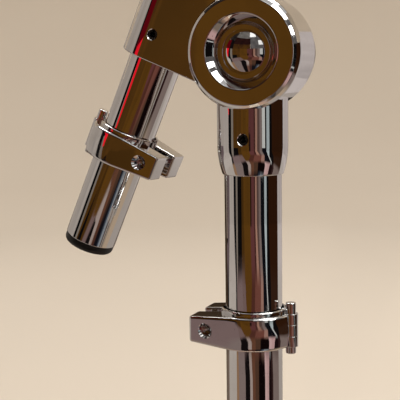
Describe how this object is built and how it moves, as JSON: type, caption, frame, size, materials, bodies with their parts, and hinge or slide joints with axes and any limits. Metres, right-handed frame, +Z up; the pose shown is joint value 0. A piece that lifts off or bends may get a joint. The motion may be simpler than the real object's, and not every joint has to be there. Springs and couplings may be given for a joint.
{
  "type": "tubular tilting arm",
  "caption": "Chrome tubular arm for a drum: an upright tube, a ratchet tilter with a wing nut, an angled tube with a plugged end, and a hinged stop lock on each tube.",
  "frame": {"origin": "on the post's axis, halfway along the free stretch below its stop lock, where a holder grips it", "axes": "+Z up the post, -Y the side that the tilter bolt's domed head faces, -X the side that the arm hangs on"},
  "size_m": [0.1153, 0.0703, 0.2961],
  "materials": {
    "chrome": "bright polished chrome plate",
    "bare_steel": "zinc plated steel",
    "black_plastic": "satin moulded black plastic"
  },
  "bodies": {
    "post": {"post_tube": "chrome", "post_end_plug": "black_plastic", "post_casting": "chrome", "post_cross_pin": "bare_steel", "tilter_bolt": "chrome", "front_ratchet_ring": "bare_steel", "tilter_spring": "bare_steel"},
    "arm": {"arm_casting": "chrome", "arm_tube": "chrome", "arm_end_plug": "black_plastic", "arm_cross_pin": "bare_steel", "rear_ratchet_ring": "bare_steel"},
    "clamp_washer": {"clamp_washer": "chrome"},
    "wing_nut": {"wing_nut": "chrome"},
    "post_lock": {"post_lock_front": "chrome", "post_lock_hinge_pin": "chrome"},
    "post_lock_rear": {"post_lock_rear": "chrome"},
    "post_lock_washer": {"post_lock_washer": "bare_steel"},
    "post_lock_key_bolt": {"post_lock_key_bolt": "chrome"},
    "arm_lock": {"arm_lock_front": "chrome", "arm_lock_hinge_pin": "chrome"},
    "arm_lock_rear": {"arm_lock_rear": "chrome"},
    "arm_lock_washer": {"arm_lock_washer": "bare_steel"},
    "arm_lock_key_bolt": {"arm_lock_key_bolt": "chrome"}
  },
  "joints": [
    {"name": "wing_nut_spin", "type": "hinge", "parent": "clamp_washer", "child": "wing_nut", "pos_m": [0, 0, 0.1816], "axis": [0, 1, 0], "range_deg": [0, 720]},
    {"name": "tilter_release", "type": "slide", "parent": "post", "child": "clamp_washer", "axis": [0, 1, 0], "range_m": [0, 0.0025]},
    {"name": "arm_tilt", "type": "hinge", "parent": "clamp_washer", "child": "arm", "pos_m": [0, 0, 0.1816], "axis": [0, 1, 0], "range_deg": [-25, 160]},
    {"name": "post_lock_height", "type": "slide", "parent": "post", "child": "post_lock", "axis": [0, 0, 1], "range_m": [-0.125, 0.05]},
    {"name": "post_lock_key_spin", "type": "hinge", "parent": "post_lock_washer", "child": "post_lock_key_bolt", "pos_m": [-0.01576, 0.0011, 0.0746], "axis": [0.0698, 0.9976, 0], "range_deg": [0, 900]},
    {"name": "post_lock_key_travel", "type": "slide", "parent": "post_lock", "child": "post_lock_washer", "axis": [0.0698, 0.9976, 0], "range_m": [0, 0.002]},
    {"name": "post_lock_opening", "type": "hinge", "parent": "post_lock", "child": "post_lock_rear", "pos_m": [0.01516, -0.00106, 0.0746], "axis": [0, 0, -1], "range_deg": [0, 2]},
    {"name": "arm_lock_reach", "type": "slide", "parent": "arm", "child": "arm_lock", "axis": [-0.3891, 0, -0.9212], "range_m": [-0.028, 0.036]},
    {"name": "arm_lock_key_spin", "type": "hinge", "parent": "arm_lock_washer", "child": "arm_lock_key_bolt", "pos_m": [-0.0509, 0.0244, 0.13688], "axis": [0.0963, 0.9945, -0.0407], "range_deg": [0, 900]},
    {"name": "arm_lock_key_travel", "type": "slide", "parent": "arm_lock", "child": "arm_lock_washer", "axis": [0.0963, 0.9945, -0.0407], "range_m": [0, 0.002]},
    {"name": "arm_lock_opening", "type": "hinge", "parent": "arm_lock", "child": "arm_lock_rear", "pos_m": [-0.0793, 0.02764, 0.14888], "axis": [0.3891, 0, 0.9212], "range_deg": [0, 2]}
  ],
  "couplings": [
    {"joint": "wing_nut_spin", "follows": "tilter_release", "rad_per_m": 5026},
    {"joint": "post_lock_key_spin", "follows": "post_lock_key_travel", "rad_per_m": 7853},
    {"joint": "post_lock_opening", "follows": "post_lock_key_travel", "rad_per_m": 17.3},
    {"joint": "arm_lock_key_spin", "follows": "arm_lock_key_travel", "rad_per_m": 7853},
    {"joint": "arm_lock_opening", "follows": "arm_lock_key_travel", "rad_per_m": 17.3}
  ]
}
